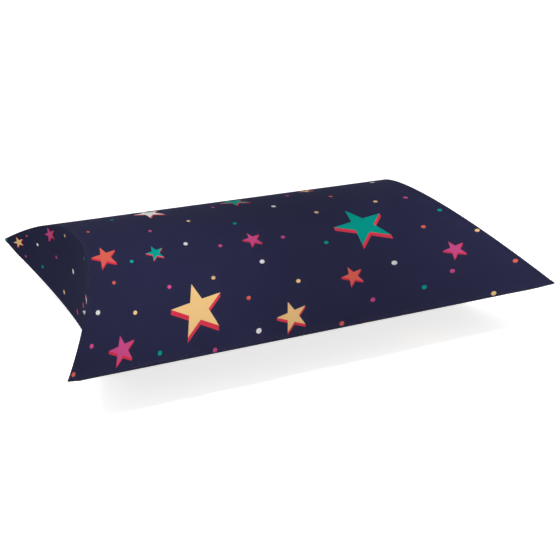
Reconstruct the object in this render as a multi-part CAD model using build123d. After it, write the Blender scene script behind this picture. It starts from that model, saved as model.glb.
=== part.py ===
from build123d import *
import math
import os

# A pillow box: one die-cut sheet of card, creased and glued into a tube of two bowed
# panels, with a curved outer flap and a shorter inner flap folded across each end.
# X runs along the box, Y from the front fold to the rear fold, Z up.
# The origin is on the surface the box stands on, under its middle.

# Driving sizes in millimetres
length = 162.0  # between the sharp corners, along X
width = 117.0  # between the front and rear folds, along Y
rise = 17.5  # from the middle plane to the crown of either panel
card = 0.5  # thickness of the card
rest_flat_depth = 0.1  # how far the belly is pressed flat where it stands
crease_band = 2.0  # card beside an end crease that flexes, along the panel
crease_drop = 1.5  # card beside an end crease that flexes, along the flap
fold_half_height = 0.9  # half the height of the front and rear fold strips
fold_round = 0.35  # outer radius of the front and rear folds
flap_gap = 0.3  # air between the outer and the inner flap
strip_gap = 0.1  # air between two strips of a flap, and beside their crease
inner_short = 0.5  # how far the inner flap stops below the middle plane
outer_tip_cut = 2.8  # the outer flap's strips end this far from the folds
inner_tip_cut = 5.0  # the inner flap's strips end this far from the folds
glue_thickness = 0.1  # the line of adhesive
glue_flap_width = 14.0  # the glue flap's reach in from the rear fold
glue_flap_inset = 4.0  # the glue flap stops this far short of the corners
glue_flap_taper = 9.0  # how much further its inner edge is drawn in at each end
glue_margin = 2.5  # bare card round the adhesive on the glue flap
raw_edge_inset = 1.2  # the bottom panel's cut edge, in from the rear fold
overrun = 5.0  # how far a cutting solid passes what it cuts

# The bending card of a flap is cut into this many strips along its straight lines
outer_strip_count = 7
inner_strip_count = 5

# Worked out from the driving sizes
half_width = width / 2
arc_radius = (half_width**2 + rise**2) / (2 * rise)
middle = rise - rest_flat_depth
arc_centre_z = middle + rise - arc_radius
end_centre_x = length / 2 - rise + arc_radius
flap_half_angle = math.asin(half_width / arc_radius)
glue_seat = card + glue_thickness
inner_set_back = card + flap_gap


def below(shape):
    """The mirror image of a shape in the plane that holds both folds."""
    return mirror(shape, about=Plane.XY.offset(middle))


def at_left(shape):
    """The mirror image of a right-hand shape, at the left end."""
    return mirror(shape, about=Plane.YZ)


def top_arc(depth):
    """A full cylinder along X, with its crown set in by depth from the top face."""
    centre = Pos(0, 0, arc_centre_z) * Rot(0, 90, 0)
    return centre * Cylinder(arc_radius - depth, length + 2 * overrun)


def end_arc(depth):
    """A full upright cylinder, its near side set in by depth from the right end."""
    centre = Pos(end_centre_x, 0, middle)
    return centre * Cylinder(arc_radius + depth, 2 * (rise + overrun))


def slab(low_y, high_y, low_z, high_z):
    """A block longer than the box, between two places in Y and two in Z."""
    centre = Pos(0, (low_y + high_y) / 2, (low_z + high_z) / 2)
    return centre * Box(length + 2 * overrun, high_y - low_y, high_z - low_z)


def lens(top_depth, bottom_depth):
    """The space between the two arcs, each set in from its panel's outer face."""
    return top_arc(top_depth) & below(top_arc(bottom_depth))


def without_ends(shape, depth):
    """A shape cut off at both ends along the end curve, set in by depth."""
    cut = end_arc(depth)
    return shape - cut - at_left(cut)


def sheet(depth, thickness):
    """A layer under the top arc, at a depth below the top face."""
    return top_arc(depth) - top_arc(depth + thickness)


def top_panel():
    low = middle + fold_half_height
    bow = sheet(0, card) & slab(-half_width, half_width, low, low + rise)
    return without_ends(bow, crease_band)


def bottom_panel():
    bow = below(sheet(0, card)) & slab(-half_width, half_width - raw_edge_inset, 0, middle)
    bow -= slab(-half_width - overrun, 0, middle - fold_half_height, middle)
    return without_ends(bow, inner_set_back + crease_band)


def rounded_nose(strip, side):
    """A fold strip with the outermost of its long edges rounded, on one side in Y."""
    nose = strip.edges().filter_by(Axis.X).sort_by(Axis.Y)[side]
    return fillet(nose, fold_round)


def front_fold():
    """The creased strip that joins the two panels along the front."""
    strip = lens(0, 0) - lens(card, card)
    strip &= slab(-half_width - overrun, 0, middle - fold_half_height, middle + fold_half_height)
    return without_ends(rounded_nose(strip, 0), crease_band)


def rear_fold():
    """The creased strip that turns the top panel's card in under the bottom panel."""
    strip = lens(0, glue_seat) - lens(card, glue_seat + card)
    strip &= slab(0, half_width + overrun, middle - fold_half_height, middle + fold_half_height)
    return without_ends(rounded_nose(strip, -1), crease_band)


def glue_plan(margin):
    """The glue flap's tapered outline seen from above, set in by a margin."""
    long_half = length / 2 - glue_flap_inset - margin
    short_half = long_half - glue_flap_taper
    inner_y = half_width - glue_flap_width + margin
    outer_y = half_width - margin
    corners = [(-long_half, outer_y), (-short_half, inner_y), (short_half, inner_y), (long_half, outer_y)]
    return extrude(make_face(Polyline(*corners, close=True)), middle - fold_half_height, dir=(0, 0, 1))


def glue_flap():
    """The tapered flap that carries the top panel's card inside the bottom panel."""
    return below(sheet(glue_seat, card)) & glue_plan(0)


def glue_line():
    return below(sheet(card, glue_thickness)) & glue_plan(glue_margin)


def crease(panel_side_depth):
    """The L-shaped band of card that flexes where a flap meets the top arc."""
    roof = sheet(0, card) & end_arc(panel_side_depth + crease_band)
    roof -= end_arc(panel_side_depth)
    wall = end_arc(panel_side_depth + card) - end_arc(panel_side_depth)
    wall &= top_arc(0)
    wall -= Pos(0, 0, -crease_drop) * top_arc(0)
    return (roof + wall) & slab(-half_width, half_width, middle, middle + rise)


def inner_crease():
    """The same band on the bottom arc, clear of the fold strips and pressed flat."""
    low_part = slab(-half_width, half_width, 0, middle - fold_half_height)
    return below(crease(inner_set_back)) & low_part


def flap(depth, tip_cut):
    """The upright curved card of a flap hanging from the top arc, full height."""
    ring = end_arc(depth + card) - end_arc(depth)
    ring &= slab(tip_cut - half_width, half_width - tip_cut, 0, middle + rise)
    return ring & Pos(0, 0, -crease_drop - strip_gap) * top_arc(0) & below(top_arc(0))


def inner_flap():
    """The flap that stands on the bottom arc, up to just below the middle plane."""
    low_part = slab(-half_width, half_width, 0, middle - inner_short)
    return below(flap(inner_set_back, inner_tip_cut)) & low_part


def wedge(low_angle, high_angle):
    """The space between two upright planes through the end curve's axis."""
    reach = 2 * arc_radius
    rim = [(-reach * math.cos(angle), reach * math.sin(angle)) for angle in (low_angle, high_angle)]
    face = make_face(Polyline((0, 0), *rim, close=True))
    return Pos(end_centre_x, 0, -overrun) * extrude(face, 2 * (rise + overrun), dir=(0, 0, 1))


def strip_name(number, count):
    """The strip's place, counted out from the middle of the flap."""
    step = number - count // 2
    if step == 0:
        return "middle"
    return f"rear_{step}" if step > 0 else f"front_{-step}"


def strips(blank, count):
    """A flap cut into strips of equal angle, which bend against each other."""
    half_step = flap_half_angle / count
    half_gap = strip_gap / (2 * arc_radius)
    pieces = {}
    for number in range(count):
        centre = (2 * number + 1 - count) * half_step
        cutter = wedge(centre - half_step + half_gap, centre + half_step - half_gap)
        pieces[strip_name(number, count)] = blank & cutter
    return pieces


def end_pieces():
    """Every piece of the right end, by the last part of its name."""
    pieces = {
        "outer_crease": crease(0),
        "inner_crease": inner_crease(),
    }
    for name, piece in strips(flap(0, outer_tip_cut), outer_strip_count).items():
        pieces[f"outer_flap_{name}"] = piece
    for name, piece in strips(inner_flap(), inner_strip_count).items():
        pieces[f"inner_flap_{name}"] = piece
    return pieces


def all_pieces():
    pieces = {
        "top_panel": top_panel(),
        "bottom_panel": bottom_panel(),
        "front_fold": front_fold(),
        "rear_fold": rear_fold(),
        "glue_flap": glue_flap(),
        "glue_line": glue_line(),
    }
    for name, piece in end_pieces().items():
        pieces[f"right_{name}"] = piece
        pieces[f"left_{name}"] = at_left(piece)
    return pieces


os.makedirs("parts", exist_ok=True)
for node, solid in all_pieces().items():
    export_step(solid, f"parts/{node}.step")
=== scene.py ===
import math
from collections import namedtuple

import bpy
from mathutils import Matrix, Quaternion, Vector
from mathutils.geometry import delaunay_2d_cdt


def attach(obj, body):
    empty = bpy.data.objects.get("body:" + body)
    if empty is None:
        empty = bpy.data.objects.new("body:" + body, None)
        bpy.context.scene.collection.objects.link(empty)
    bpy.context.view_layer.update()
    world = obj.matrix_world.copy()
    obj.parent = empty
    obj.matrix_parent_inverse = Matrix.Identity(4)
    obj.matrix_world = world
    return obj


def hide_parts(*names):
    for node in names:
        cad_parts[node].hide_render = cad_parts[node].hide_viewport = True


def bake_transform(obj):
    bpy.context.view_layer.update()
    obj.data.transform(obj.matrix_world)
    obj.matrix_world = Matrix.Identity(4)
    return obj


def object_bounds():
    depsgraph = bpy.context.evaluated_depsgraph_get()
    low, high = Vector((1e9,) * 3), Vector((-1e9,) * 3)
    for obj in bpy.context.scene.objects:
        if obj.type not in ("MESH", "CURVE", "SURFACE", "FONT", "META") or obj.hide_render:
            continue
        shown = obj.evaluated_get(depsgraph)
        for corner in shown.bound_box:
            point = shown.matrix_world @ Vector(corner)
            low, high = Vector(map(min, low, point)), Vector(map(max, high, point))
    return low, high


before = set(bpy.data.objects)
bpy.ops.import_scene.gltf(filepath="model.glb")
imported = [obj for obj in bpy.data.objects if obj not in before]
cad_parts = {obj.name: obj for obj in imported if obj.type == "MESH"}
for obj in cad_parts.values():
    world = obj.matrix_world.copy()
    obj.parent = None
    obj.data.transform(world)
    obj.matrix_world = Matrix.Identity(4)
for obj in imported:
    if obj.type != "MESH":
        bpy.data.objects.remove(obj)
cad_low, cad_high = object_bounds()

# A pillow box of printed card, in a pale studio.
# Lengths are in millimetres and angles in radians, unless a name says otherwise.
# A place on the card is given on its flat plan: u along the box, v across it, both
# measured from the middle of the top panel on the printed side.

per_metre = 1000.0

# Sizes of the card that the frame doesn't give
card = 0.5
fold_bend = 0.28  # outer radius of the front and rear folds
lip_bend = 0.45  # and of the creases at the ends
least_core_share = 0.12  # what a fold's outer radius keeps on the inner side, at least
lip_room_share = 0.96  # what a crease's outer radius takes of the room inside, at most
lip_plan_share = 2.0  # length of a whole lip on the flat plan, in outer radii
least_lip_length = 0.02  # and where the card's end doesn't turn in
crush_band = 1.2  # the card is crushed thinner this far beside a crease
belly_press = 0.1  # how far the belly is pressed flat where it stands
set_back = 0.8  # the bottom panel's ends, behind the outer flaps
inner_flap_back = 1.42  # and the inner flaps, which so open out level with it
glue_seat = 0.6  # depth of the glue flap under the bottom panel's face
glue_inner_y = 44.5
glue_long_half = 77.0  # the glue flap's half length at the fold
glue_short_half = 68.0  # and at its inner edge
raw_edge_y = 57.2  # the bottom panel's cut edge beside the rear fold
tip_places = {"outer": 57.3, "inner": 53.5}  # the flaps' narrow ends, in Y
outer_tip_trim = 0.8  # what is trimmed off the outer flap's lower edge at its ends
trim_length = 6.0  # and over which length
inner_short = 0.5  # how far the inner flap stops below the middle plane
spring_out = 0.5  # how far the outer flap's lowest edge springs out
floor_clearance = 0.1

# The tongue is card of a flap that reaches up inside the crease, so that the crease
# stays closed when the flap swings
tongue_outer_depth = 0.3
tongue_outer_top = 0.1
tongue_inner_top = 0.04
tongue_ramp = 0.05

# Where two pieces of a flap meet, each goes on a little inside the other's thickness
lap_reach = {"outer": 0.12, "inner": 0.30}
lap_depth = {"outer": 0.10, "inner": 0.20}
lap_parts = 3  # it goes down over the first of this many equal parts of the lap
tongue_lap_rise = 0.5  # as a share of that depth, towards the printed side, in the tongue

weld = 1e-4  # points of the flat plan closer than this are one
line_reach = 10 * weld  # points of the flat plan this near a line are on it
inked_rim_reach = 1.5 * lip_bend  # a flap's rim is inked down to here, in its crease

# How finely the card is divided
panel_rows = 62
nose_rows = 10
glue_rows = 8
column_pitch = 9.0
flap_row_pitch = 2.0
least_flap_rows = 2
flap_columns = 7
lip_steps = 5

# Strips of each flap, as the frame has them, and the reach of a bend between two of them, as a share
# of the way from one to the next, at which a flap bent over it would open round
strip_counts = {"outer": 7, "inner": 5}
bend_reach_share = 1.365

# The shape of the box, from the frame
length = (cad_high.x - cad_low.x) * per_metre
width = (cad_high.y - cad_low.y) * per_metre
rise = ((cad_high.z - cad_low.z) * per_metre + belly_press) / 2
middle = rise - belly_press
radius = ((width / 2) ** 2 + rise**2) / (2 * rise)
top_z = middle + rise - radius
bottom_z = middle - rise + radius
end_x = length / 2 - rise + radius
flap_half_angle = math.asin(width / 2 / radius)

# The card's section across the tube is a chain of arcs. The angle of a place on it is
# that of its outward normal: zero is up, and it grows towards the rear.
Arc = namedtuple("Arc", "name y z radius start end rows first_v")


def section_arcs():
    """The arcs of the section, from the bottom panel's cut edge to the glue flap's."""
    front_y = math.sqrt((radius - fold_bend) ** 2 - (radius - rise) ** 2)
    front_angle = math.asin(front_y / (radius - fold_bend))
    lift = glue_seat * (2 * (radius - fold_bend) - glue_seat) / (4 * (radius - rise))
    rear_y = math.sqrt((radius - fold_bend) ** 2 - (radius - rise + lift) ** 2)
    rear_angle = math.asin(rear_y / (radius - fold_bend))
    glue_radius = radius - glue_seat
    glue_angle = math.asin(rear_y / (glue_radius - fold_bend))
    raw_angle = math.asin(raw_edge_y / radius)
    last_angle = math.asin(glue_inner_y / glue_radius)
    chain = [
        ("bottom", 0.0, bottom_z, radius, -math.pi - raw_angle, front_angle - math.pi, panel_rows),
        ("front", -front_y, middle, fold_bend, front_angle - math.pi, -front_angle, nose_rows),
        ("top", 0.0, top_z, radius, -front_angle, rear_angle, panel_rows),
        ("rear", rear_y, middle + lift, fold_bend, rear_angle, math.pi - glue_angle, nose_rows),
        ("glue", 0.0, bottom_z, glue_radius, math.pi - glue_angle, math.pi - last_angle, glue_rows),
    ]
    before_top = sum(arc[3] * (arc[5] - arc[4]) for arc in chain[:2])
    v = -radius * front_angle - before_top
    arcs = []
    for name, y, z, arc_radius, start, end, rows in chain:
        arcs.append(Arc(name, y, z, arc_radius, start, end, rows, v))
        v += arc_radius * (end - start)
    return arcs


arcs = section_arcs()
arc_named = {arc.name: arc for arc in arcs}
fold_v = arc_named["front"].first_v
bottom_crown_v = arc_named["bottom"].first_v + radius * (-math.pi - arc_named["bottom"].start)


def smooth(share):
    share = min(max(share, 0.0), 1.0)
    return share * share * (3 - 2 * share)


def between(low, high, share):
    return low + (high - low) * share


def place_on_section(v):
    """The arc that a place across the card is on, and its angle there."""
    for arc in arcs:
        angle = arc.start + (v - arc.first_v) / arc.radius
        if angle <= arc.end:
            break
    return arc, max(angle, arcs[0].start)


def section_point(arc, angle, depth):
    """The place in Y and Z, at a depth under the printed side."""
    reach = arc.radius - depth
    return arc.y + reach * math.sin(angle), arc.z + reach * math.cos(angle)


def end_curve(y, back=0.0):
    """How far out along X the end of the box is, at a place across it."""
    return end_x - math.sqrt((radius + back) ** 2 - y * y)


def share_of_arc(arc, angle):
    return (angle - arc.start) / (arc.end - arc.start)


def back_of(arc, angle):
    """How far the card's end is set back: the bottom panel ends behind the outer flap."""
    if arc.name == "bottom":
        return set_back
    if arc.name == "front":
        return between(set_back, 0.0, smooth(2 * share_of_arc(arc, angle)))
    return 0.0


def room_inside(arc, angle):
    """How far in from the printed side the plane of the nearer fold is."""
    if arc.name in ("front", "rear"):
        return fold_bend
    y, z = section_point(arc, angle, 0)
    fold = arc_named["rear" if arc.name == "top" and y > 0 else "front"]
    return (z - fold.z) / math.cos(angle)


def lip_radius(arc, angle):
    """The radius of the rounded crease at the card's end, less near the folds."""
    if arc.name == "glue":
        return lip_bend
    return min(lip_bend, lip_room_share * room_inside(arc, angle))


def card_depth(arc, angle, past):
    """The card's thickness, less where it is crushed at a fold or a crease.

    How far a place is past the line where the lip begins is negative inboard of it.
    """
    if arc.name == "glue":
        return card
    core = 1 - least_core_share
    whole = min(card, core * room_inside(arc, angle))
    crushed = min(whole, core * lip_radius(arc, angle))
    return between(whole, crushed, min(max(1 + past / crush_band, 0.0), 1.0))


def lip_turn(arc, angle):
    """How far the card's end turns in: a quarter turn at a crease, none at a cut edge."""
    if arc.name == "rear":
        return math.pi / 2 * (1 - smooth(2 * share_of_arc(arc, angle)))
    return 0.0 if arc.name == "glue" else math.pi / 2


def straight_half(arc, angle):
    """Half the card's length at a place across it, up to where its end turns in."""
    y, _ = section_point(arc, angle, 0)
    crease = end_curve(y, back_of(arc, angle)) - lip_radius(arc, angle)
    glue_share = (arc_named["rear"].y - y) / (arc_named["rear"].y - glue_inner_y)
    cut = between(glue_long_half, glue_short_half, max(glue_share, 0.0))
    if arc.name == "glue":
        return cut
    if arc.name == "rear":
        return between(crease, cut, smooth(share_of_arc(arc, angle)))
    return crease


def tube_point(u, v, inner):
    """The place in space of a place on the tube's flat plan, on either side of the card."""
    arc, angle = place_on_section(v)
    past = abs(u) - straight_half(arc, angle)
    depth = card_depth(arc, angle, past) if inner else 0.0
    lip = lip_radius(arc, angle)
    core = lip - depth
    x = abs(u)
    if past > 0:
        turned = past / (lip_plan_share * lip) * math.pi / 2
        depth = lip - core * math.cos(turned)
    y, z = section_point(arc, angle, depth)
    if past > 0:
        start_y, _ = section_point(arc, angle, 0)
        back = back_of(arc, angle)
        x += end_curve(y, back) - end_curve(start_y, back)
        x += core * math.sin(turned) - past
    return math.copysign(x, u), y, max(z, card if inner else 0.0)


def row_across(half, lip_length):
    """Places along one row of the tube's plan: both lips, and the straight run."""
    lip = [half + lip_length * step / lip_steps for step in range(lip_steps + 1)]
    flat = half - crush_band
    count = 2 * round(length / 2 / column_pitch)
    run = [between(-flat, flat, step / count) for step in range(count + 1)]
    return [-u for u in reversed(lip)] + run + lip


def tube_grid():
    rows = []
    for number, arc in enumerate(arcs):
        first = 0 if number == 0 else 1
        for step in range(first, arc.rows + 1):
            angle = between(arc.start, arc.end, step / arc.rows)
            v = arc.first_v + arc.radius * (angle - arc.start)
            turn_share = lip_turn(arc, angle) / (math.pi / 2)
            lip_length = lip_plan_share * lip_radius(arc, angle) * turn_share
            lip_length = max(lip_length, least_lip_length)
            rows.append([(u, v) for u in row_across(straight_half(arc, angle), lip_length)])
    return rows


class Flap:
    """A closing flap of one end, as it stands when shut."""

    def __init__(self, side, layer):
        self.side = side
        self.layer = layer
        self.outer = layer == "outer"
        self.back = 0.0 if self.outer else inner_flap_back
        self.middle_v = 0.0 if self.outer else bottom_crown_v
        self.across = 1 if self.outer else -1

    def angle(self, v):
        return self.across * (v - self.middle_v) / (radius + self.back)

    def v_at(self, angle):
        return self.middle_v + self.across * angle * (radius + self.back)

    def y(self, angle):
        return (radius + self.back) * math.sin(angle)

    def crease_half(self, angle):
        """How far out along X the crease is, which is also where the flap's plan starts."""
        return end_curve(self.y(angle), self.back)

    def drop(self, angle, inset=0.0):
        """Height of the panel's face over the middle plane, at a depth under it."""
        return math.sqrt((radius - inset) ** 2 - self.y(angle) ** 2) - (radius - rise)

    def edge(self, angle):
        """How far below the crease the flap leaves the rounded lip."""
        arc = arc_named["top" if self.outer else "bottom"]
        normal = angle if self.outer else -math.pi - angle
        lip = lip_radius(arc, normal)
        return self.drop(angle) - self.drop(angle, lip)

    def height(self, angle):
        """How far the flap reaches from its crease."""
        if self.outer:
            near_tip = (abs(self.y(angle)) - tip_places["outer"] + trim_length) / trim_length
            whole = min(2 * self.drop(angle), middle + self.drop(angle) - floor_clearance)
            return whole - outer_tip_trim * smooth(near_tip)
        return self.drop(angle) - inner_short

    def spring(self, below):
        """How far out the card stands at a height below its crease."""
        return spring_out * max(below, 0.0) / (2 * rise) if self.outer else 0.0

    def tongue_top(self, angle, inner):
        depth = card if inner else tongue_outer_depth
        top = tongue_inner_top if inner else tongue_outer_top
        return (top + depth * math.sin(angle) ** 2) / math.cos(angle)

    def point(self, u, v, inner, sunk=0.0):
        """The place in space of a place on the flap's plan, or a little within the card."""
        angle = self.angle(v)
        below = abs(u) - self.crease_half(angle)
        edge = self.edge(angle)
        depth = card if inner else 0.0
        if inner:
            sunk = -sunk
        if below < edge:
            if not inner:
                sunk *= -tongue_lap_rise
                depth = tongue_outer_depth * min((edge - below) / tongue_ramp, 1.0)
            start = self.tongue_top(angle, False)
            share = min((edge - below) / (edge - start), 1.0)
            below = between(edge, self.tongue_top(angle, inner), share)
        reach = radius + self.back + depth + sunk - self.spring(below)
        x = end_x - reach * math.cos(angle)
        z = middle + self.drop(angle) - below
        if not self.outer:
            z = max(middle - self.drop(angle), 0.0) + below
        return self.side * x, reach * math.sin(angle), z

    def row(self, angle):
        """Places down one upright line of the flap, as its flat plan has them."""
        edge = self.edge(angle)
        levels = [self.tongue_top(angle, False), edge - tongue_ramp]
        for step in range(flap_columns + 1):
            levels.append(between(edge, self.height(angle), step / flap_columns))
        v = self.v_at(angle)
        return [(self.side * (self.crease_half(angle) + level), v) for level in levels]

    def grid(self, near, far, at_tip):
        """Rows of places from one line to another, with the laps past them."""
        count = max(round(abs(far - near) * radius / flap_row_pitch), least_flap_rows)
        lap = math.copysign(lap_reach[self.layer] / radius, near - far)
        angles = [near + lap, near + lap / lap_parts]
        angles += [between(near, far, step / count) for step in range(count + 1)]
        if not at_tip:
            angles += [far - lap / lap_parts, far - lap]
        return [self.row(angle) for angle in angles]

    def lapped_point(self, near, far):
        """A function like point, for a piece that is sunk past the lines it lies between."""
        sign = math.copysign(1, far - near)
        reach = lap_reach[self.layer]

        def point(u, v, inner):
            angle = self.angle(v)
            past = max(sign * (near - angle), sign * (angle - far)) * radius
            sunk = lap_depth[self.layer] * min(max(lap_parts * past / reach, 0.0), 1.0)
            return self.point(u, v, inner, sunk)

        return point

    def rim_colour(self, tip_angle):
        """A function that gives a rim its colour: inked in the crease, none in a lap."""

        def colour(u, v, next_u, next_v):
            if abs(v - next_v) < weld and abs(self.angle(v)) < tip_angle - weld:
                return None
            ends = ((u, v), (next_u, next_v))
            below = max(abs(a) - self.crease_half(self.angle(b)) for a, b in ends)
            return "navy" if below < inked_rim_reach else "cut_edge"

        return colour

    def hinge_point(self, angle):
        """The place on the shut flap's printed side at an angle, in the middle plane."""
        reach = radius + self.back
        return Vector((self.side * (end_x - reach * math.cos(angle)), reach * math.sin(angle), middle))


# The print: five-pointed stars, each with a red block shadow, and dots

star_points = 5
star_inner_share = 0.39
shadow_along_share, shadow_across_share = -0.06, -0.16
dot_radius = 0.85
white_dot_radius = 1.0
dot_sides = 20

# Each star is (u, v, radius, colour, turn in degrees), and each dot (u, v, colour)
top_stars = [
    (-58.9, -15.4, 5.3, "coral", 0),
    (-43.6, -17.6, 3.7, "teal", 0),
    (-64.2, -55.3, 4.3, "magenta", 0),
    (-39.3, -46.2, 9.2, "yellow", -4.0),
    (-12.6, -55.0, 5.3, "yellow", -1.5),
    (-11.3, -18.4, 3.9, "magenta", 0),
    (28.3, -20.2, 11.2, "teal", -2.5),
    (12.6, -44.2, 4.1, "coral", 0),
    (52.9, -40.5, 4.5, "magenta", 0),
    (-34.1, 22.8, 7.4, "white", 0),
    (-2.1, 22.7, 6.9, "teal", 0),
    (28.6, 25.7, 3.4, "yellow", 0),
]
top_dots = [
    (1.3, -60.8, "coral"),
    (-24.5, -57.8, "white"),
    (-39.1, -61.2, "magenta"),
    (56.3, -60.9, "yellow"),
    (28.9, -41.8, "white"),
    (-67.4, -40.9, "white"),
    (46.7, -49.5, "magenta"),
    (14.7, -54.7, "magenta"),
    (-13.1, -31.1, "white"),
    (71.4, -50.1, "coral"),
    (33.8, -53.7, "teal"),
    (-54.5, -58.7, "teal"),
    (-5.5, -42.3, "yellow"),
    (-59.8, -29.6, "coral"),
    (-30.6, -34.8, "yellow"),
    (-44.7, -35.5, "magenta"),
    (-23.2, -45.5, "coral"),
    (-72.0, -52.3, "magenta"),
    (-78.7, -60.0, "coral"),
    (48.6, -26.7, "coral"),
    (-32.8, -14.9, "white"),
    (-57.3, -43.4, "yellow"),
    (-1.1, -19.9, "magenta"),
    (-51.9, -20.4, "teal"),
    (6.7, 5.7, "white"),
    (11.4, -26.8, "teal"),
    (-22.7, -19.3, "magenta"),
    (54.5, -4.7, "magenta"),
    (42.2, -4.3, "yellow"),
    (60.5, -18.2, "teal"),
    (66.4, -33.3, "yellow"),
    (17.7, -6.2, "yellow"),
    (-59.1, 6.3, "coral"),
    (-25.9, 2.8, "yellow"),
    (-40.5, -1.6, "magenta"),
    (30.5, 8.1, "coral"),
    (-12.4, -5.6, "teal"),
    (-48.2, 19.0, "teal"),
    (-12.2, 16.5, "magenta"),
    (18.2, 19.5, "magenta"),
    (44.4, 29.1, "teal"),
    (57.1, 24.5, "white"),
]
left_flap_stars = [
    (-71.3, 30.4, 3.2, "magenta", 0),
    (-80.0, 52.5, 2.6, "yellow", 0),
    (-87.2, -8.4, 9.5, "white", 0),
]
left_flap_dots = [
    (-67.8, 17.1, "yellow"),
    (-77.8, 40.2, "white"),
    (-76.2, 46.9, "coral"),
    (-78.6, 26.6, "magenta"),
    (-85.7, 38.1, "teal"),
    (-84.6, 48.9, "magenta"),
    (-78.7, 11.3, "white"),
    (-67.3, -7.6, "teal"),
    (-90.4, 22.4, "yellow"),
    (-93.2, 10.2, "magenta"),
    (-87.0, 1.2, "coral"),
    (-80.6, 59.6, "teal"),
]
# The far side of the top panel and the parts of the flaps that the photograph hides
hidden_stars = [
    (-58.0, 43.0, 4.2, "magenta", 0),
    (-17.0, 46.0, 5.2, "coral", 0),
    (12.0, 44.0, 3.9, "yellow", 0),
    (43.0, 42.0, 7.6, "yellow", 0),
    (-80.0, -35.0, 4.2, "coral", 0),
    (74.0, -30.0, 4.0, "teal", 0),
    (79.0, -4.0, 5.0, "yellow", 0),
    (76.0, 24.0, 3.8, "coral", 0),
]
hidden_dots = [
    (-64.0, 36.0, "white"),
    (-50.0, 31.0, "yellow"),
    (-45.0, 51.0, "teal"),
    (-32.0, 40.0, "coral"),
    (-27.0, 55.0, "white"),
    (-6.0, 37.0, "magenta"),
    (-4.0, 54.0, "teal"),
    (14.0, 33.0, "white"),
    (24.0, 51.0, "coral"),
    (29.0, 38.0, "magenta"),
    (57.0, 54.0, "magenta"),
    (60.0, 36.0, "white"),
    (-70.0, 52.0, "yellow"),
    (69.0, 46.0, "teal"),
    (-71.5, -24.0, "white"),
    (-91.0, -26.0, "teal"),
    (-86.0, -44.0, "yellow"),
    (69.5, -17.0, "white"),
    (86.0, -20.0, "magenta"),
    (79.0, -43.0, "coral"),
    (91.0, -10.0, "teal"),
    (68.5, 7.0, "magenta"),
    (89.0, 8.0, "white"),
    (87.0, 26.0, "teal"),
    (73.0, 39.0, "yellow"),
    (82.0, 43.0, "white"),
    (78.0, 13.0, "coral"),
]


# How the print leans and stretches. A figure's first axis and its second go where these
# say, in U and in V. A number that varies is (at the middle, its growth along, across).
# On the panels, the growth is up to the right end and up to the rear fold. On the left
# flap, it is per millimetre past the panel's corner and per millimetre from the middle.
top_first = ((0.82, 0.13, -0.24), (0.27, 0.0, 0.0))
top_second = ((-0.13, -0.10, -0.21), (1.18, -0.17, 0.23))
top_dot_wide = (0.96, 0.26, 0.0)
top_dot_deep = (0.89, 0.14, 0.0)
flap_first, flap_second = (0.81, 0.05), (-0.30, 1.23)
flap_dot_tall = (1.13, 0.020, -0.0135)
flap_dot_wide = (0.85, 0.0, -0.005)


def varied(numbers, along, across):
    at_middle, growth_along, growth_across = numbers
    return at_middle + growth_along * along + growth_across * across


def top_shares(u, v):
    return u / (length / 2), v / (radius * flap_half_angle)


def top_lean(u, v):
    """Where a figure's two axes go at a place on the panels."""
    along, across = top_shares(u, v)
    first = tuple(varied(numbers, along, across) for numbers in top_first)
    second = tuple(varied(numbers, along, across) for numbers in top_second)
    return first, second


def top_dot_lean(u, v):
    """The dots lean alike, and are smaller towards the left end."""
    (first_u, first_v), (second_u, second_v) = top_lean(u, v)
    wide = varied(top_dot_wide, *top_shares(u, v))
    deep = varied(top_dot_deep, *top_shares(u, v))
    return (wide * first_u, wide * first_v), (deep * second_u, deep * second_v)


def flap_lean(u, v):
    return flap_first, flap_second


def flap_dot_lean(u, v):
    """Dots on a flap are upright ovals, smaller towards its ends and its crease."""
    tall = varied(flap_dot_tall, abs(u) - length / 2, abs(v))
    wide = varied(flap_dot_wide, abs(u) - length / 2, abs(v))
    return (tall, 0.0), (0.0, wide)


def round_shape(corners, reach_of, turn=0.0):
    """Corners of a figure about its centre, each at its own reach, clockwise from the top."""
    shape = []
    for number in range(corners):
        angle = math.pi / 2 - 2 * math.pi * number / corners + turn
        reach = reach_of(number)
        shape.append((reach * math.cos(angle), reach * math.sin(angle)))
    return shape


def laid(shape, u, v, lean):
    """A figure set down at a place on the card, leaning as the print does there."""
    first, second = lean(u, v)
    return [(u + a * first[0] + b * second[0], v + a * first[1] + b * second[1]) for a, b in shape]


def shadow_sweep(outline, shift):
    """The four-cornered pieces that an outline's sides pass over as it moves by a shift."""
    pieces = []
    for number, start in enumerate(outline):
        end = outline[(number + 1) % len(outline)]
        moved = [(p[0] + shift[0], p[1] + shift[1]) for p in (end, start)]
        pieces.append([start, end, *moved])
    return pieces


def star_figures(u, v, size, colour, turn, lean):
    """A star and its block shadow as filled outlines, what lies on top first."""
    reaches = (size, size * star_inner_share)
    star = round_shape(2 * star_points, lambda number: reaches[number % 2], math.radians(turn))
    outline = laid(star, u, v, lean)
    first, second = lean(u, v)
    along, across = size * shadow_along_share, size * shadow_across_share
    shift = [along * first[axis] + across * second[axis] for axis in range(2)]
    return [(outline, colour)] + [(piece, "red") for piece in shadow_sweep(outline, shift)]


def dot_figure(u, v, colour, lean):
    size = white_dot_radius if colour == "white" else dot_radius
    return laid(round_shape(dot_sides, lambda number: size), u, v, lean), colour


def figures_of(stars, dots, lean, dot_lean):
    figures = []
    for u, v, size, colour, turn in stars:
        figures += star_figures(u, v, size, colour, turn, lean)
    figures += [dot_figure(u, v, colour, dot_lean) for u, v, colour in dots]
    return figures


def plain_lean(u, v):
    return (1.0, 0.0), (0.0, 1.0)


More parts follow.
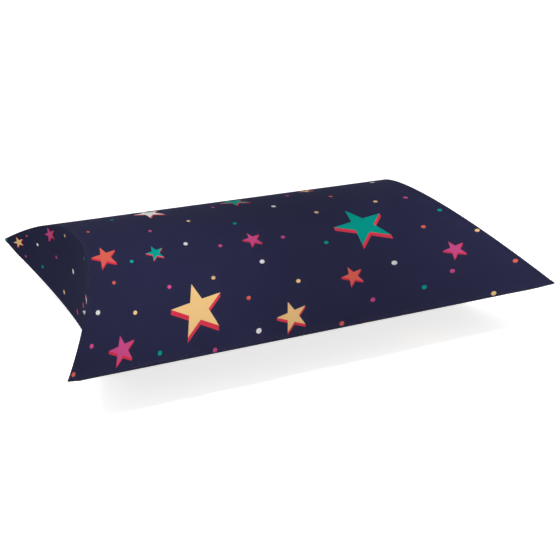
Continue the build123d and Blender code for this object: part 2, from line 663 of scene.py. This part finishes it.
def turned_round(figures):
    """The same print on the bottom panel, turned half round about its middle.

    What would lie over the front fold is left out.
    """
    turned = []
    for outline, colour in figures:
        outline = [(-u, bottom_crown_v - v) for u, v in outline]
        if box_of(outline)[3] < fold_v:
            turned.append((outline, colour))
    return turned


def whole_print():
    seen = figures_of(top_stars, top_dots, top_lean, top_dot_lean)
    seen += figures_of(left_flap_stars, left_flap_dots, flap_lean, flap_dot_lean)
    hidden = figures_of(hidden_stars, hidden_dots, plain_lean, plain_lean)
    all_stars, all_dots = top_stars + left_flap_stars, top_dots + left_flap_dots
    below = figures_of(all_stars, all_dots, plain_lean, plain_lean)
    return seen + hidden + turned_round(below + hidden)


def box_of(outline):
    us, vs = [p[0] for p in outline], [p[1] for p in outline]
    return min(us), max(us), min(vs), max(vs)


def boxes_meet(a, b):
    return a[0] < b[1] and b[0] < a[1] and a[2] < b[3] and b[2] < a[3]


def is_inside(place, outline):
    u, v = place
    inside = False
    last_u, last_v = outline[-1]
    for next_u, next_v in outline:
        if (next_v > v) != (last_v > v):
            crossing = last_u + (v - last_v) / (next_v - last_v) * (next_u - last_u)
            if u < crossing:
                inside = not inside
        last_u, last_v = next_u, next_v
    return inside


# Cutting the flat card along its lines and its print


def grid_lines(rows):
    """The points of a grid, and the lines along its rows and its columns."""
    columns = len(rows[0])
    points = [place for row in rows for place in row]
    lines = []
    for j in range(len(rows)):
        for i in range(columns):
            here = j * columns + i
            if i + 1 < columns:
                lines.append((here, here + 1))
            if j + 1 < len(rows):
                lines.append((here, here + columns))
    return points, lines


def grid_outline(rows):
    left = [row[0] for row in reversed(rows)]
    right = [row[-1] for row in rows]
    return rows[0][:-1] + right[:-1] + rows[-1][:0:-1] + left[:-1]


def colour_at(place, figures):
    """The colour of the print at a place, which is that of the first figure there."""
    u, v = place
    for shape, extent, colour in figures:
        low_u, high_u, low_v, high_v = extent
        if low_u < u < high_u and low_v < v < high_v and is_inside(place, shape):
            return colour
    return "navy"


def cut_plan(rows, print_figures):
    """Triangles of the flat card, each with the colour of its print."""
    points, lines = grid_lines(rows)
    outline = grid_outline(rows)
    limits = box_of(outline)
    near = [(o, box_of(o), c) for o, c in print_figures if boxes_meet(box_of(o), limits)]
    for shape, _, _ in near:
        first = len(points)
        points += shape
        lines += [(first + k, first + (k + 1) % len(shape)) for k in range(len(shape))]
    cut = delaunay_2d_cdt([Vector(p) for p in points], lines, [], 0, weld)
    places, triangles = cut[0], cut[2]
    kept, colours = [], []
    for triangle in triangles:
        a, b, c = (places[k] for k in triangle)
        centre = ((a.x + b.x + c.x) / 3, (a.y + b.y + c.y) / 3)
        if is_inside(centre, outline):
            area = (b - a).cross(c - a)
            kept.append(tuple(triangle) if area > 0 else tuple(reversed(triangle)))
            colours.append(colour_at(centre, near))
    return [(p.x, p.y) for p in places], kept, colours


def rim_edges(triangles):
    """The edges that only one triangle has, in that triangle's direction."""
    seen = set()
    for a, b, c in triangles:
        seen.update(((a, b), (b, c), (c, a)))
    return [(a, b) for a, b in seen if (b, a) not in seen]


ink_names = ["navy", "yellow", "teal", "magenta", "coral", "white", "red"]
finish_names = ink_names + ["inside", "cut_edge"]


class Card:
    """The flat card of one piece, cut into triangles, and where its corners go."""

    def __init__(self, rows, print_figures):
        self.places, triangles, self.colours = cut_plan(rows, print_figures)
        self.used = sorted({k for triangle in triangles for k in triangle})
        self.number = {k: n for n, k in enumerate(self.used)}
        self.count = len(self.used)
        self.faces = [tuple(self.number[k] for k in triangle) for triangle in triangles]

    def place(self, n):
        """The place on the plan of a corner, on either side of the card."""
        return self.places[self.used[n % self.count]]

    def corners(self, point_of):
        """Corners in metres: all of the printed side, then all of the plain side."""
        outer = [point_of(*self.places[k], False) for k in self.used]
        inner = [point_of(*self.places[k], True) for k in self.used]
        return [[c / per_metre for c in point] for point in outer + inner]

    def plain_faces(self):
        return [tuple(self.count + n for n in reversed(face)) for face in self.faces]

    def rim(self, rim_colour_of):
        """The edges of the rim, and their colours, without those that have none."""
        edges, colours = [], []
        for a, b in sorted(rim_edges(self.faces)):
            colour = rim_colour_of(*self.place(a), *self.place(b))
            if colour:
                edges.append((a, b))
                colours.append(colour)
        return edges, colours

    def both_sides(self, edge):
        """An edge of the printed side and the one behind it on the plain side."""
        a, b = edge
        return {frozenset((a, b)), frozenset((self.count + a, self.count + b))}

    def on_line(self, v):
        """The corners on a line across the plan."""
        printed = {n for k, n in self.number.items() if abs(self.places[k][1] - v) < line_reach}
        return printed | {self.count + n for n in printed}


def add_plan(mesh, flat):
    """Keep on the mesh where its corners are on the plan, and where the card is folded."""
    plan = mesh.uv_layers.new(name="plan")
    for loop in mesh.loops:
        u, v = flat.place(loop.vertex_index)
        plan.uv[loop.index].vector = (u / per_metre, v / per_metre)
    fold = mesh.attributes.new("fold", "FLOAT", "POINT")
    fold.data.foreach_set("value", [fold_share(*flat.places[k]) for k in flat.used] * 2)


def mark_sharp(mesh, flat, rim, lap_lines):
    """Sharp along the rim, and along the lines where the card's laps begin."""
    sharp = set()
    for edge in rim:
        sharp |= flat.both_sides(edge)
    for line in lap_lines:
        corners = flat.on_line(line)
        along = [edge for edge in mesh.edges if corners.issuperset(edge.vertices)]
        sharp |= {frozenset(edge.vertices) for edge in along}
    for edge in mesh.edges:
        edge.use_edge_sharp = frozenset(edge.vertices) in sharp


def card_piece(name, rows, point_of, rim_colour_of, print_figures, lap_lines=()):
    """A piece of card: printed side, plain side, and the rim except where it goes on."""
    flat = Card(rows, print_figures)
    plain = flat.plain_faces()
    rim, rim_colours = flat.rim(rim_colour_of)
    sides = [(b, a, flat.count + a, flat.count + b) for a, b in rim]
    mesh = bpy.data.meshes.new(name)
    mesh.from_pydata(flat.corners(point_of), [], flat.faces + plain + sides)
    finishes = flat.colours + ["inside"] * len(plain) + rim_colours
    mesh.polygons.foreach_set("material_index", [finish_names.index(f) for f in finishes])
    mesh.polygons.foreach_set("use_smooth", [True] * len(finishes))
    add_plan(mesh, flat)
    mark_sharp(mesh, flat, rim, lap_lines)
    mesh.validate()
    piece = bpy.data.objects.new(name, mesh)
    bpy.context.scene.collection.objects.link(piece)
    for finish in finish_names:
        mesh.materials.append(finishes_made[finish])
    return piece


def fold_share(u, v):
    """One where the card is folded, and nothing on its flat parts."""
    arc, angle = place_on_section(v)
    if arc.name in ("front", "rear"):
        return 1.0
    half = straight_half(arc, angle)
    lip_length = lip_plan_share * lip_radius(arc, angle)
    return 1.0 if half < abs(u) < half + lip_length else 0.0


# Finishes

ink_colours = {
    "navy": (0.0205, 0.0212, 0.0545),
    "yellow": (0.7600, 0.5100, 0.2180),
    "teal": (0.0010, 0.2960, 0.2460),
    "magenta": (0.5100, 0.0655, 0.2180),
    "coral": (0.6150, 0.1110, 0.0785),
    "white": (0.7250, 0.7300, 0.7150),
    "red": (0.6000, 0.0350, 0.0650),
}
inside_colour = (0.80, 0.785, 0.75)
cut_edge_colour = (0.72, 0.70, 0.66)
glue_colour = (0.80, 0.76, 0.66)
ink_specular = 0.005
board_specular = 0.25


class Nodes:
    """A new material's nodes, added and joined by name."""

    def __init__(self, name):
        self.material = bpy.data.materials.new(name)
        self.material.use_nodes = True
        self.tree = self.material.node_tree
        self.shader = self.tree.nodes["Principled BSDF"]

    def add(self, kind, **settings):
        node = self.tree.nodes.new(kind)
        for name, value in settings.items():
            if hasattr(node, name):
                setattr(node, name, value)
            else:
                node.inputs[name.replace("_", " ")].default_value = value
        return node

    def join(self, source, target):
        self.tree.links.new(source, target)

    def set(self, name, value):
        self.shader.inputs[name].default_value = value

    def noise(self, where, scale, detail=3.0, roughness=0.55):
        node = self.add("ShaderNodeTexNoise", Scale=scale, Detail=detail, Roughness=roughness)
        self.join(where, node.inputs["Vector"])
        return node.outputs["Fac"]

    def mapped(self, value, old, new):
        """A value mapped from an old range to a new one, and held within it."""
        node = self.add("ShaderNodeMapRange")
        for socket, number in zip(node.inputs[1:5], (*old, *new)):
            socket.default_value = number
        self.join(value, node.inputs["Value"])
        return node.outputs["Result"]

    def times(self, a, b):
        node = self.add("ShaderNodeMath", operation="MULTIPLY")
        self.join(a, node.inputs[0])
        self.join(b, node.inputs[1])
        return node.outputs[0]

    def mix(self, share, first, second):
        """A colour between two, each a colour or a socket."""
        node = self.add("ShaderNodeMix", data_type="RGBA")
        self.join(share, node.inputs["Factor"])
        sockets = [s for s in node.inputs if s.type == "RGBA"]
        for socket, value in zip(sockets, (first, second)):
            if isinstance(value, tuple):
                socket.default_value = (*value, 1.0)
            else:
                self.join(value, socket)
        return next(s for s in node.outputs if s.type == "RGBA")

    def bump(self, height, strength, distance):
        node = self.add("ShaderNodeBump", Strength=strength, Distance=distance)
        self.join(height, node.inputs["Height"])
        self.join(node.outputs["Normal"], self.shader.inputs["Normal"])


full = (0.0, 1.0)
most_of_noise = (0.3, 0.7)  # what a noise hardly leaves


def shaded(colour, share):
    return tuple(channel * share for channel in colour)


def paler(colour):
    """The ink where it is cracked and lets the board show."""
    return tuple(0.82 * channel + 0.14 for channel in colour)


def ink_finish(name, colour):
    """Ink on smooth card under a matt varnish, cracked a little along the folds."""
    nodes = Nodes(f"{name}_ink")
    plan = nodes.add("ShaderNodeUVMap", uv_map="plan").outputs["UV"]
    cloud = nodes.mapped(nodes.noise(plan, scale=38.0), most_of_noise, full)
    grain = nodes.noise(plan, scale=2600.0, detail=4.0)
    speckle = nodes.noise(plan, scale=900.0, detail=5.0, roughness=0.7)
    speck = nodes.mapped(speckle, (0.35, 0.65), full)
    base = nodes.mix(cloud, shaded(colour, 0.96), shaded(colour, 1.04))
    base = nodes.mix(nodes.mapped(speck, full, (0.0, 0.10)), base, shaded(colour, 0.84))
    fold = nodes.add("ShaderNodeAttribute", attribute_name="fold").outputs["Fac"]
    cracks = nodes.noise(plan, scale=1500.0, detail=5.0, roughness=0.7)
    crack = nodes.mapped(cracks, (0.48, 0.72), (0.0, 0.22))
    base = nodes.mix(nodes.times(fold, crack), base, paler(colour))
    nodes.join(base, nodes.shader.inputs["Base Color"])
    roughness = nodes.mapped(grain, most_of_noise, (0.62, 0.76))
    nodes.join(roughness, nodes.shader.inputs["Roughness"])
    nodes.bump(grain, strength=0.12, distance=0.00006)
    nodes.set("Specular IOR Level", ink_specular)
    return nodes.material


def inside_finish():
    """The board's plain side: warm white, with short fibres and faint flecks."""
    nodes = Nodes("card_inside")
    plan = nodes.add("ShaderNodeUVMap", uv_map="plan").outputs["UV"]
    fibre_way = nodes.add("ShaderNodeMapping")
    fibre_way.inputs["Scale"].default_value = (1.0, 3.2, 1.0)
    nodes.join(plan, fibre_way.inputs["Vector"])
    fibre = nodes.noise(fibre_way.outputs["Vector"], scale=1100.0, detail=6.0, roughness=0.7)
    cloud = nodes.mapped(nodes.noise(plan, scale=60.0), most_of_noise, full)
    base = nodes.mix(cloud, shaded(inside_colour, 0.97), shaded(inside_colour, 1.02))
    fleck = nodes.mapped(nodes.noise(plan, scale=620.0, detail=2.0), (0.68, 0.78), (0.0, 0.35))
    base = nodes.mix(fleck, base, shaded(inside_colour, 0.72))
    fibre_share = nodes.mapped(fibre, (0.35, 0.7), (0.0, 0.22))
    base = nodes.mix(fibre_share, base, shaded(inside_colour, 0.86))
    nodes.join(base, nodes.shader.inputs["Base Color"])
    roughness = nodes.mapped(fibre, most_of_noise, (0.78, 0.92))
    nodes.join(roughness, nodes.shader.inputs["Roughness"])
    nodes.bump(fibre, strength=0.25, distance=0.00008)
    nodes.set("Specular IOR Level", board_specular)
    return nodes.material


def cut_edge_finish():
    """The board's cut edge: pale layers of pressed fibre."""
    nodes = Nodes("card_cut_edge")
    where = nodes.add("ShaderNodeTexCoord").outputs["Object"]
    layers = nodes.noise(where, scale=5200.0)
    share = nodes.mapped(layers, (0.35, 0.65), full)
    base = nodes.mix(share, shaded(cut_edge_colour, 0.78), cut_edge_colour)
    nodes.join(base, nodes.shader.inputs["Base Color"])
    roughness = nodes.mapped(layers, most_of_noise, (0.8, 0.95))
    nodes.join(roughness, nodes.shader.inputs["Roughness"])
    nodes.bump(layers, strength=0.4, distance=0.00005)
    nodes.set("Specular IOR Level", board_specular)
    return nodes.material


def glue_finish():
    """White glue, dried to a slightly glossy, uneven film."""
    nodes = Nodes("dried_glue")
    where = nodes.add("ShaderNodeTexCoord").outputs["Object"]
    ripple = nodes.noise(where, scale=480.0, detail=4.0)
    share = nodes.mapped(ripple, most_of_noise, full)
    base = nodes.mix(share, shaded(glue_colour, 0.86), glue_colour)
    nodes.join(base, nodes.shader.inputs["Base Color"])
    roughness = nodes.mapped(ripple, most_of_noise, (0.28, 0.5))
    nodes.join(roughness, nodes.shader.inputs["Roughness"])
    nodes.bump(ripple, strength=0.35, distance=0.0001)
    return nodes.material


finishes_made = {name: ink_finish(name, ink_colours[name]) for name in ink_names}
finishes_made["inside"] = inside_finish()
finishes_made["cut_edge"] = cut_edge_finish()

# The pieces of card

box_print = whole_print()


def tube_rim_colour(u, v, next_u, next_v):
    """Creased ends go on inside; the raw edge and the glue flap are cut."""
    arc, angle = place_on_section((v + next_v) / 2)
    at_side = abs(v - next_v) < weld
    return "cut_edge" if at_side or arc.name in ("rear", "glue") else "inside"


def make_tube():
    tube = card_piece("tube_card", tube_grid(), tube_point, tube_rim_colour, box_print)
    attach(tube, "box")
    creases = [f"{end}_{layer}_crease" for end in ("left", "right") for layer in ("outer", "inner")]
    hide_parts("top_panel", "bottom_panel", "front_fold", "rear_fold", "glue_flap", *creases)


def strip_body(end, layer, side_name, number):
    place = "middle" if number == 0 else f"{side_name}_{number}"
    return f"{end}_{layer}_flap_{place}"


def blend_line(flap, hinge, sign):
    """The two places, in metres, on the shut flap's printed side, a bend's reach either way of a
    hinge.
    """
    step = 2 * flap_half_angle / strip_counts[flap.layer]
    centre = flap.hinge_point(hinge)
    onward = Vector((flap.side * math.sin(hinge), math.cos(hinge), 0)) * sign
    onward *= bend_reach_share * step * (radius + flap.back)
    return (centre - onward) / per_metre, (centre + onward) / per_metre


def make_flap_piece(end, flap, side_name, sign, number):
    """The card of a flap from the middle of one strip to the middle of the next one out."""
    layer = flap.layer
    count = strip_counts[layer]
    step = 2 * flap_half_angle / count
    tip_angle = math.asin(tip_places[layer] / (radius + flap.back))
    at_tip = number == count // 2
    near = sign * (number - 1) * step
    far = sign * (tip_angle if at_tip else number * step)
    name = f"{end}_{layer}_flap_card_{side_name}_{number}"
    grid = flap.grid(near, far, at_tip)
    lap_lines = [flap.v_at(near)] if at_tip else [flap.v_at(near), flap.v_at(far)]
    point_of, rim_colour_of = flap.lapped_point(near, far), flap.rim_colour(tip_angle)
    piece = card_piece(name, grid, point_of, rim_colour_of, box_print, lap_lines)
    bodies = [strip_body(end, layer, side_name, k) for k in (number - 1, number)]
    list(blend_line(flap, sign * (number - 0.5) * step, sign))
    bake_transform(piece)
    stood_for = bodies if (number, side_name) == (1, "front") else bodies[1:]
    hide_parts(*stood_for)


def make_flap(end, layer):
    flap = Flap(-1 if end == "left" else 1, layer)
    for side_name, sign in (("front", -1), ("rear", 1)):
        for number in range(1, strip_counts[layer] // 2 + 1):
            make_flap_piece(end, flap, side_name, sign, number)


make_tube()
for end in ("left", "right"):
    for layer in ("outer", "inner"):
        make_flap(end, layer)

glue_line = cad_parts["glue_line"]
glue_line.data.materials.clear()
glue_line.data.materials.append(glue_finish())

# The studio

floor_half = 2.5  # in metres
floor_colour = (0.82, 0.82, 0.82)
floor_roughness = 0.95
floor_glow = 0.76  # light of its own, which only the rays below see, so that it looks white
room_colour = (1.0, 0.985, 0.965)
room_strength = 0.50
white = (1.0, 1.0, 1.0, 1.0)

# Each lamp: its name, its place and its size in metres, its power in watts, where on the
# box it looks in X and Y, and its spread in degrees
lamps = [
    ("lamp_over", (-0.20, -0.34, 1.3), 1.1, 3.0, (0.0, 0.0), 180.0),
    ("lamp_end", (-0.50, -0.30, 0.30), 0.06, 0.006, (-0.090, 0.02), 15.0),
    ("lamp_left", (-0.02, -0.28, 0.60), 0.06, 0.012, (-0.045, -0.02), 13.0),
    ("lamp_right", (0.12, -0.28, 0.60), 0.06, 0.016, (0.08, -0.03), 15.0),
]


def showing_rays(tree):
    """One for the rays to which the studio looks white: the camera's, in gloss, through glass."""
    path = tree.nodes.new("ShaderNodeLightPath")
    share = path.outputs["Is Camera Ray"]
    for name in ("Is Glossy Ray", "Is Transmission Ray"):
        total = tree.nodes.new("ShaderNodeMath")
        total.operation = "ADD"
        total.use_clamp = True
        tree.links.new(share, total.inputs[0])
        tree.links.new(path.outputs[name], total.inputs[1])
        share = total.outputs[0]
    return share


def make_floor():
    """A pale floor that looks white and keeps the object's shadow."""
    corners = [(-floor_half, -floor_half, 0), (floor_half, -floor_half, 0)]
    corners += [(floor_half, floor_half, 0), (-floor_half, floor_half, 0)]
    mesh = bpy.data.meshes.new("floor")
    mesh.from_pydata(corners, [], [(0, 1, 2, 3)])
    floor = bpy.data.objects.new("floor", mesh)
    bpy.context.scene.collection.objects.link(floor)
    nodes = Nodes("floor")
    nodes.set("Base Color", (*floor_colour, 1.0))
    nodes.set("Roughness", floor_roughness)
    nodes.set("Specular IOR Level", 0.0)
    nodes.set("Emission Color", white)
    glow = nodes.mapped(showing_rays(nodes.tree), full, (0.0, floor_glow))
    nodes.join(glow, nodes.shader.inputs["Emission Strength"])
    mesh.materials.append(nodes.material)


def make_world():
    """White where the studio shows, and a plain pale light to everything else."""
    world = bpy.data.worlds.new("studio")
    bpy.context.scene.world = world
    world.use_nodes = True
    tree = world.node_tree
    background = tree.nodes["Background"]
    seen = tree.nodes.new("ShaderNodeBackground")
    mix = tree.nodes.new("ShaderNodeMixShader")
    background.inputs["Color"].default_value = (*room_colour, 1.0)
    background.inputs["Strength"].default_value = room_strength
    seen.inputs["Color"].default_value = white
    tree.links.new(showing_rays(tree), mix.inputs["Fac"])
    tree.links.new(background.outputs["Background"], mix.inputs[1])
    tree.links.new(seen.outputs["Background"], mix.inputs[2])
    tree.links.new(mix.outputs["Shader"], tree.nodes["World Output"].inputs["Surface"])


def make_lamp(name, place, size, power, looks_at, spread):
    """A soft square lamp that looks at a place in the box's middle plane."""
    data = bpy.data.lights.new(name, "AREA")
    data.shape = "SQUARE"
    data.size = size
    data.energy = power
    data.spread = math.radians(spread)
    lamp = bpy.data.objects.new(name, data)
    lamp.location = place
    aim = Vector((*looks_at, middle / per_metre)) - Vector(place)
    lamp.rotation_mode = "QUATERNION"
    lamp.rotation_quaternion = aim.to_track_quat("-Z", "Y")
    bpy.context.scene.collection.objects.link(lamp)


make_floor()
make_world()
for lamp in lamps:
    make_lamp(*lamp)

# The camera, in metres and degrees

camera_place = (-0.1130, -0.2690, 0.1349)
camera_azimuth, camera_elevation, camera_roll = -23.98, 23.21, 0.02
camera_lens, camera_sensor = 57.28, 36.0  # in millimetres
camera_near_limit = 0.01


def make_camera():
    azimuth, elevation = math.radians(camera_azimuth), math.radians(camera_elevation)
    back = Vector((
        math.sin(azimuth) * math.cos(elevation),
        -math.cos(azimuth) * math.cos(elevation),
        math.sin(elevation),
    ))
    data = bpy.data.cameras.new("camera")
    data.lens = camera_lens
    data.sensor_width = camera_sensor
    data.clip_start = camera_near_limit
    camera = bpy.data.objects.new("camera", data)
    camera.location = camera_place
    camera.rotation_mode = "QUATERNION"
    roll = Quaternion(back, math.radians(camera_roll))
    camera.rotation_quaternion = roll @ (-back).to_track_quat("-Z", "Y")
    bpy.context.scene.collection.objects.link(camera)
    bpy.context.scene.camera = camera


make_camera()
bpy.context.scene.view_settings.view_transform = "Standard"
